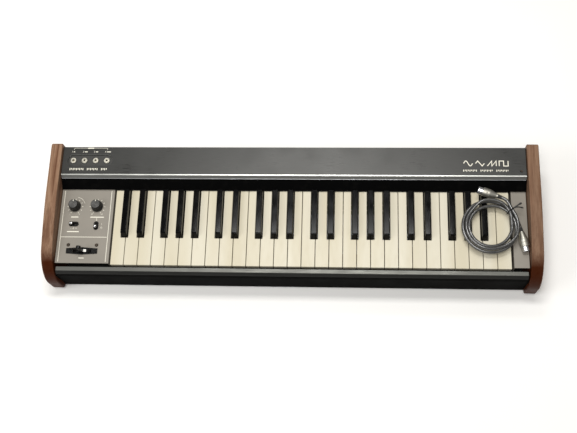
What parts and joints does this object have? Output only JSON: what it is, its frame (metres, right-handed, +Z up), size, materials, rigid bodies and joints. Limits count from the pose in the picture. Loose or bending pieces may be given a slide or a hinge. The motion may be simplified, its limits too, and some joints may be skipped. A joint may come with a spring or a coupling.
{
  "type": "synthesizer keyboard controller",
  "caption": "Four-octave synthesizer keyboard in a low steel case between walnut cheeks, with a grey control panel, bender lever, output jacks and a coiled link cable.",
  "frame": {"origin": "middle of the footprint, on the surface that the feet stand on", "axes": "+X towards the highest key, +Y towards the back, +Z up"},
  "size_m": [0.85, 0.24, 0.1117],
  "materials": {
    "walnut": "satin lacquered walnut",
    "black_paint": "semi-matt black stove enamel",
    "dark_panel": "brushed and anodised dark grey",
    "zinc": "bright zinc-plated steel",
    "knob": "moulded black plastic",
    "switch_cap": "bright plated",
    "bender": "moulded black plastic",
    "ivory_key": "polished, slightly yellowed",
    "black_key": "polished black",
    "cable_jacket": "smooth grey jacket",
    "plug_metal": "satin plated",
    "grey_panel": "warm grey enamel",
    "trim_metal": "bright anodised",
    "nickel": "nickel plated",
    "print": "screen-printed off-white",
    "rubber_foot": "moulded black rubber"
  },
  "bodies": {
    "case": {"side_cheeks": "walnut", "case_shell": "black_paint", "panels": "dark_panel", "key_bed": "zinc"},
    "key_c2": {"key_c2": "ivory_key"},
    "key_csharp2": {"key_csharp2": "black_key"},
    "key_d2": {"key_d2": "ivory_key"},
    "key_dsharp2": {"key_dsharp2": "black_key"},
    "key_e2": {"key_e2": "ivory_key"},
    "key_f2": {"key_f2": "ivory_key"},
    "key_fsharp2": {"key_fsharp2": "black_key"},
    "key_g2": {"key_g2": "ivory_key"},
    "key_gsharp2": {"key_gsharp2": "black_key"},
    "key_a2": {"key_a2": "ivory_key"},
    "key_asharp2": {"key_asharp2": "black_key"},
    "key_b2": {"key_b2": "ivory_key"},
    "key_c3": {"key_c3": "ivory_key"},
    "key_csharp3": {"key_csharp3": "black_key"},
    "key_d3": {"key_d3": "ivory_key"},
    "key_dsharp3": {"key_dsharp3": "black_key"},
    "key_e3": {"key_e3": "ivory_key"},
    "key_f3": {"key_f3": "ivory_key"},
    "key_fsharp3": {"key_fsharp3": "black_key"},
    "key_g3": {"key_g3": "ivory_key"},
    "key_gsharp3": {"key_gsharp3": "black_key"},
    "key_a3": {"key_a3": "ivory_key"},
    "key_asharp3": {"key_asharp3": "black_key"},
    "key_b3": {"key_b3": "ivory_key"},
    "key_c4": {"key_c4": "ivory_key"},
    "key_csharp4": {"key_csharp4": "black_key"},
    "key_d4": {"key_d4": "ivory_key"},
    "key_dsharp4": {"key_dsharp4": "black_key"},
    "key_e4": {"key_e4": "ivory_key"},
    "key_f4": {"key_f4": "ivory_key"},
    "key_fsharp4": {"key_fsharp4": "black_key"},
    "key_g4": {"key_g4": "ivory_key"},
    "key_gsharp4": {"key_gsharp4": "black_key"},
    "key_a4": {"key_a4": "ivory_key"},
    "key_asharp4": {"key_asharp4": "black_key"},
    "key_b4": {"key_b4": "ivory_key"},
    "key_c5": {"key_c5": "ivory_key"},
    "key_csharp5": {"key_csharp5": "black_key"},
    "key_d5": {"key_d5": "ivory_key"},
    "key_dsharp5": {"key_dsharp5": "black_key"},
    "key_e5": {"key_e5": "ivory_key"},
    "key_f5": {"key_f5": "ivory_key"},
    "key_fsharp5": {"key_fsharp5": "black_key"},
    "key_g5": {"key_g5": "ivory_key"},
    "key_gsharp5": {"key_gsharp5": "black_key"},
    "key_a5": {"key_a5": "ivory_key"},
    "key_asharp5": {"key_asharp5": "black_key"},
    "key_b5": {"key_b5": "ivory_key"},
    "key_c6": {"key_c6": "ivory_key"},
    "tune_knob": {"tune_knob": "knob"},
    "portamento_knob": {"portamento_knob": "knob"},
    "transpose_slider": {"transpose_slider": "switch_cap"},
    "portamento_slider": {"portamento_slider": "switch_cap"},
    "bender_lever": {"bender_lever": "bender"},
    "link_cable": {"link_coil": "cable_jacket", "link_plugs": "plug_metal"}
  },
  "joints": [
    {"name": "key_c2_hinge", "type": "hinge", "parent": "case", "child": "key_c2", "pos_m": [-0.2997, 0.103, 0.077], "axis": [1, 0, 0], "range_deg": [0, 2.8], "stiffness_Nm_per_rad": 1, "springref_deg": -9.17},
    {"name": "key_csharp2_hinge", "type": "hinge", "parent": "case", "child": "key_csharp2", "pos_m": [-0.2856, 0.103, 0.077], "axis": [1, 0, 0], "range_deg": [0, 2.8], "stiffness_Nm_per_rad": 1, "springref_deg": -9.17},
    {"name": "key_d2_hinge", "type": "hinge", "parent": "case", "child": "key_d2", "pos_m": [-0.2715, 0.103, 0.077], "axis": [1, 0, 0], "range_deg": [0, 2.8], "stiffness_Nm_per_rad": 1, "springref_deg": -9.17},
    {"name": "key_dsharp2_hinge", "type": "hinge", "parent": "case", "child": "key_dsharp2", "pos_m": [-0.2574, 0.103, 0.077], "axis": [1, 0, 0], "range_deg": [0, 2.8], "stiffness_Nm_per_rad": 1, "springref_deg": -9.17},
    {"name": "key_e2_hinge", "type": "hinge", "parent": "case", "child": "key_e2", "pos_m": [-0.2433, 0.103, 0.077], "axis": [1, 0, 0], "range_deg": [0, 2.8], "stiffness_Nm_per_rad": 1, "springref_deg": -9.17},
    {"name": "key_f2_hinge", "type": "hinge", "parent": "case", "child": "key_f2", "pos_m": [-0.22954, 0.103, 0.077], "axis": [1, 0, 0], "range_deg": [0, 2.8], "stiffness_Nm_per_rad": 1, "springref_deg": -9.17},
    {"name": "key_fsharp2_hinge", "type": "hinge", "parent": "case", "child": "key_fsharp2", "pos_m": [-0.21611, 0.103, 0.077], "axis": [1, 0, 0], "range_deg": [0, 2.8], "stiffness_Nm_per_rad": 1, "springref_deg": -9.17},
    {"name": "key_g2_hinge", "type": "hinge", "parent": "case", "child": "key_g2", "pos_m": [-0.20268, 0.103, 0.077], "axis": [1, 0, 0], "range_deg": [0, 2.8], "stiffness_Nm_per_rad": 1, "springref_deg": -9.17},
    {"name": "key_gsharp2_hinge", "type": "hinge", "parent": "case", "child": "key_gsharp2", "pos_m": [-0.18925, 0.103, 0.077], "axis": [1, 0, 0], "range_deg": [0, 2.8], "stiffness_Nm_per_rad": 1, "springref_deg": -9.17},
    {"name": "key_a2_hinge", "type": "hinge", "parent": "case", "child": "key_a2", "pos_m": [-0.17582, 0.103, 0.077], "axis": [1, 0, 0], "range_deg": [0, 2.8], "stiffness_Nm_per_rad": 1, "springref_deg": -9.17},
    {"name": "key_asharp2_hinge", "type": "hinge", "parent": "case", "child": "key_asharp2", "pos_m": [-0.16239, 0.103, 0.077], "axis": [1, 0, 0], "range_deg": [0, 2.8], "stiffness_Nm_per_rad": 1, "springref_deg": -9.17},
    {"name": "key_b2_hinge", "type": "hinge", "parent": "case", "child": "key_b2", "pos_m": [-0.14896, 0.103, 0.077], "axis": [1, 0, 0], "range_deg": [0, 2.8], "stiffness_Nm_per_rad": 1, "springref_deg": -9.17},
    {"name": "key_c3_hinge", "type": "hinge", "parent": "case", "child": "key_c3", "pos_m": [-0.1352, 0.103, 0.077], "axis": [1, 0, 0], "range_deg": [0, 2.8], "stiffness_Nm_per_rad": 1, "springref_deg": -9.17},
    {"name": "key_csharp3_hinge", "type": "hinge", "parent": "case", "child": "key_csharp3", "pos_m": [-0.1211, 0.103, 0.077], "axis": [1, 0, 0], "range_deg": [0, 2.8], "stiffness_Nm_per_rad": 1, "springref_deg": -9.17},
    {"name": "key_d3_hinge", "type": "hinge", "parent": "case", "child": "key_d3", "pos_m": [-0.107, 0.103, 0.077], "axis": [1, 0, 0], "range_deg": [0, 2.8], "stiffness_Nm_per_rad": 1, "springref_deg": -9.17},
    {"name": "key_dsharp3_hinge", "type": "hinge", "parent": "case", "child": "key_dsharp3", "pos_m": [-0.0929, 0.103, 0.077], "axis": [1, 0, 0], "range_deg": [0, 2.8], "stiffness_Nm_per_rad": 1, "springref_deg": -9.17},
    {"name": "key_e3_hinge", "type": "hinge", "parent": "case", "child": "key_e3", "pos_m": [-0.0788, 0.103, 0.077], "axis": [1, 0, 0], "range_deg": [0, 2.8], "stiffness_Nm_per_rad": 1, "springref_deg": -9.17},
    {"name": "key_f3_hinge", "type": "hinge", "parent": "case", "child": "key_f3", "pos_m": [-0.06504, 0.103, 0.077], "axis": [1, 0, 0], "range_deg": [0, 2.8], "stiffness_Nm_per_rad": 1, "springref_deg": -9.17},
    {"name": "key_fsharp3_hinge", "type": "hinge", "parent": "case", "child": "key_fsharp3", "pos_m": [-0.05161, 0.103, 0.077], "axis": [1, 0, 0], "range_deg": [0, 2.8], "stiffness_Nm_per_rad": 1, "springref_deg": -9.17},
    {"name": "key_g3_hinge", "type": "hinge", "parent": "case", "child": "key_g3", "pos_m": [-0.03818, 0.103, 0.077], "axis": [1, 0, 0], "range_deg": [0, 2.8], "stiffness_Nm_per_rad": 1, "springref_deg": -9.17},
    {"name": "key_gsharp3_hinge", "type": "hinge", "parent": "case", "child": "key_gsharp3", "pos_m": [-0.02475, 0.103, 0.077], "axis": [1, 0, 0], "range_deg": [0, 2.8], "stiffness_Nm_per_rad": 1, "springref_deg": -9.17},
    {"name": "key_a3_hinge", "type": "hinge", "parent": "case", "child": "key_a3", "pos_m": [-0.01132, 0.103, 0.077], "axis": [1, 0, 0], "range_deg": [0, 2.8], "stiffness_Nm_per_rad": 1, "springref_deg": -9.17},
    {"name": "key_asharp3_hinge", "type": "hinge", "parent": "case", "child": "key_asharp3", "pos_m": [0.00211, 0.103, 0.077], "axis": [1, 0, 0], "range_deg": [0, 2.8], "stiffness_Nm_per_rad": 1, "springref_deg": -9.17},
    {"name": "key_b3_hinge", "type": "hinge", "parent": "case", "child": "key_b3", "pos_m": [0.01554, 0.103, 0.077], "axis": [1, 0, 0], "range_deg": [0, 2.8], "stiffness_Nm_per_rad": 1, "springref_deg": -9.17},
    {"name": "key_c4_hinge", "type": "hinge", "parent": "case", "child": "key_c4", "pos_m": [0.0293, 0.103, 0.077], "axis": [1, 0, 0], "range_deg": [0, 2.8], "stiffness_Nm_per_rad": 1, "springref_deg": -9.17},
    {"name": "key_csharp4_hinge", "type": "hinge", "parent": "case", "child": "key_csharp4", "pos_m": [0.0434, 0.103, 0.077], "axis": [1, 0, 0], "range_deg": [0, 2.8], "stiffness_Nm_per_rad": 1, "springref_deg": -9.17},
    {"name": "key_d4_hinge", "type": "hinge", "parent": "case", "child": "key_d4", "pos_m": [0.0575, 0.103, 0.077], "axis": [1, 0, 0], "range_deg": [0, 2.8], "stiffness_Nm_per_rad": 1, "springref_deg": -9.17},
    {"name": "key_dsharp4_hinge", "type": "hinge", "parent": "case", "child": "key_dsharp4", "pos_m": [0.0716, 0.103, 0.077], "axis": [1, 0, 0], "range_deg": [0, 2.8], "stiffness_Nm_per_rad": 1, "springref_deg": -9.17},
    {"name": "key_e4_hinge", "type": "hinge", "parent": "case", "child": "key_e4", "pos_m": [0.0857, 0.103, 0.077], "axis": [1, 0, 0], "range_deg": [0, 2.8], "stiffness_Nm_per_rad": 1, "springref_deg": -9.17},
    {"name": "key_f4_hinge", "type": "hinge", "parent": "case", "child": "key_f4", "pos_m": [0.09946, 0.103, 0.077], "axis": [1, 0, 0], "range_deg": [0, 2.8], "stiffness_Nm_per_rad": 1, "springref_deg": -9.17},
    {"name": "key_fsharp4_hinge", "type": "hinge", "parent": "case", "child": "key_fsharp4", "pos_m": [0.11289, 0.103, 0.077], "axis": [1, 0, 0], "range_deg": [0, 2.8], "stiffness_Nm_per_rad": 1, "springref_deg": -9.17},
    {"name": "key_g4_hinge", "type": "hinge", "parent": "case", "child": "key_g4", "pos_m": [0.12632, 0.103, 0.077], "axis": [1, 0, 0], "range_deg": [0, 2.8], "stiffness_Nm_per_rad": 1, "springref_deg": -9.17},
    {"name": "key_gsharp4_hinge", "type": "hinge", "parent": "case", "child": "key_gsharp4", "pos_m": [0.13975, 0.103, 0.077], "axis": [1, 0, 0], "range_deg": [0, 2.8], "stiffness_Nm_per_rad": 1, "springref_deg": -9.17},
    {"name": "key_a4_hinge", "type": "hinge", "parent": "case", "child": "key_a4", "pos_m": [0.15318, 0.103, 0.077], "axis": [1, 0, 0], "range_deg": [0, 2.8], "stiffness_Nm_per_rad": 1, "springref_deg": -9.17},
    {"name": "key_asharp4_hinge", "type": "hinge", "parent": "case", "child": "key_asharp4", "pos_m": [0.16661, 0.103, 0.077], "axis": [1, 0, 0], "range_deg": [0, 2.8], "stiffness_Nm_per_rad": 1, "springref_deg": -9.17},
    {"name": "key_b4_hinge", "type": "hinge", "parent": "case", "child": "key_b4", "pos_m": [0.18004, 0.103, 0.077], "axis": [1, 0, 0], "range_deg": [0, 2.8], "stiffness_Nm_per_rad": 1, "springref_deg": -9.17},
    {"name": "key_c5_hinge", "type": "hinge", "parent": "case", "child": "key_c5", "pos_m": [0.1938, 0.103, 0.077], "axis": [1, 0, 0], "range_deg": [0, 2.8], "stiffness_Nm_per_rad": 1, "springref_deg": -9.17},
    {"name": "key_csharp5_hinge", "type": "hinge", "parent": "case", "child": "key_csharp5", "pos_m": [0.2079, 0.103, 0.077], "axis": [1, 0, 0], "range_deg": [0, 2.8], "stiffness_Nm_per_rad": 1, "springref_deg": -9.17},
    {"name": "key_d5_hinge", "type": "hinge", "parent": "case", "child": "key_d5", "pos_m": [0.222, 0.103, 0.077], "axis": [1, 0, 0], "range_deg": [0, 2.8], "stiffness_Nm_per_rad": 1, "springref_deg": -9.17},
    {"name": "key_dsharp5_hinge", "type": "hinge", "parent": "case", "child": "key_dsharp5", "pos_m": [0.2361, 0.103, 0.077], "axis": [1, 0, 0], "range_deg": [0, 2.8], "stiffness_Nm_per_rad": 1, "springref_deg": -9.17},
    {"name": "key_e5_hinge", "type": "hinge", "parent": "case", "child": "key_e5", "pos_m": [0.2502, 0.103, 0.077], "axis": [1, 0, 0], "range_deg": [0, 2.8], "stiffness_Nm_per_rad": 1, "springref_deg": -9.17},
    {"name": "key_f5_hinge", "type": "hinge", "parent": "case", "child": "key_f5", "pos_m": [0.26396, 0.103, 0.077], "axis": [1, 0, 0], "range_deg": [0, 2.8], "stiffness_Nm_per_rad": 1, "springref_deg": -9.17},
    {"name": "key_fsharp5_hinge", "type": "hinge", "parent": "case", "child": "key_fsharp5", "pos_m": [0.27739, 0.103, 0.077], "axis": [1, 0, 0], "range_deg": [0, 2.8], "stiffness_Nm_per_rad": 1, "springref_deg": -9.17},
    {"name": "key_g5_hinge", "type": "hinge", "parent": "case", "child": "key_g5", "pos_m": [0.29082, 0.103, 0.077], "axis": [1, 0, 0], "range_deg": [0, 2.8], "stiffness_Nm_per_rad": 1, "springref_deg": -9.17},
    {"name": "key_gsharp5_hinge", "type": "hinge", "parent": "case", "child": "key_gsharp5", "pos_m": [0.30425, 0.103, 0.077], "axis": [1, 0, 0], "range_deg": [0, 2.8], "stiffness_Nm_per_rad": 1, "springref_deg": -9.17},
    {"name": "key_a5_hinge", "type": "hinge", "parent": "case", "child": "key_a5", "pos_m": [0.31768, 0.103, 0.077], "axis": [1, 0, 0], "range_deg": [0, 2.8], "stiffness_Nm_per_rad": 1, "springref_deg": -9.17},
    {"name": "key_asharp5_hinge", "type": "hinge", "parent": "case", "child": "key_asharp5", "pos_m": [0.33111, 0.103, 0.077], "axis": [1, 0, 0], "range_deg": [0, 2.8], "stiffness_Nm_per_rad": 1, "springref_deg": -9.17},
    {"name": "key_b5_hinge", "type": "hinge", "parent": "case", "child": "key_b5", "pos_m": [0.34454, 0.103, 0.077], "axis": [1, 0, 0], "range_deg": [0, 2.8], "stiffness_Nm_per_rad": 1, "springref_deg": -9.17},
    {"name": "key_c6_hinge", "type": "hinge", "parent": "case", "child": "key_c6", "pos_m": [0.3583, 0.103, 0.077], "axis": [1, 0, 0], "range_deg": [0, 2.8], "stiffness_Nm_per_rad": 1, "springref_deg": -9.17},
    {"name": "tune_turn", "type": "hinge", "parent": "case", "child": "tune_knob", "pos_m": [-0.3779, 0.0095, 0.084], "axis": [0, 0, 1], "range_deg": [-150, 150]},
    {"name": "portamento_turn", "type": "hinge", "parent": "case", "child": "portamento_knob", "pos_m": [-0.3383, 0.0095, 0.084], "axis": [0, 0, 1], "range_deg": [-150, 150]},
    {"name": "transpose_slide", "type": "slide", "parent": "case", "child": "transpose_slider", "axis": [1, 0, 0], "range_m": [0, 0.007]},
    {"name": "portamento_switch", "type": "slide", "parent": "case", "child": "portamento_slider", "axis": [0, 1, 0], "range_m": [0, 0.005]},
    {"name": "bender_swing", "type": "hinge", "parent": "case", "child": "bender_lever", "pos_m": [-0.3581, -0.0718, 0.064], "axis": [0, 1, 0], "range_deg": [-22, 22], "stiffness_Nm_per_rad": 0.2},
    {"name": "link_cable_lift", "type": "slide", "parent": "case", "child": "link_cable", "axis": [0, 0, 1], "range_m": [0, 0.12]}
  ]
}
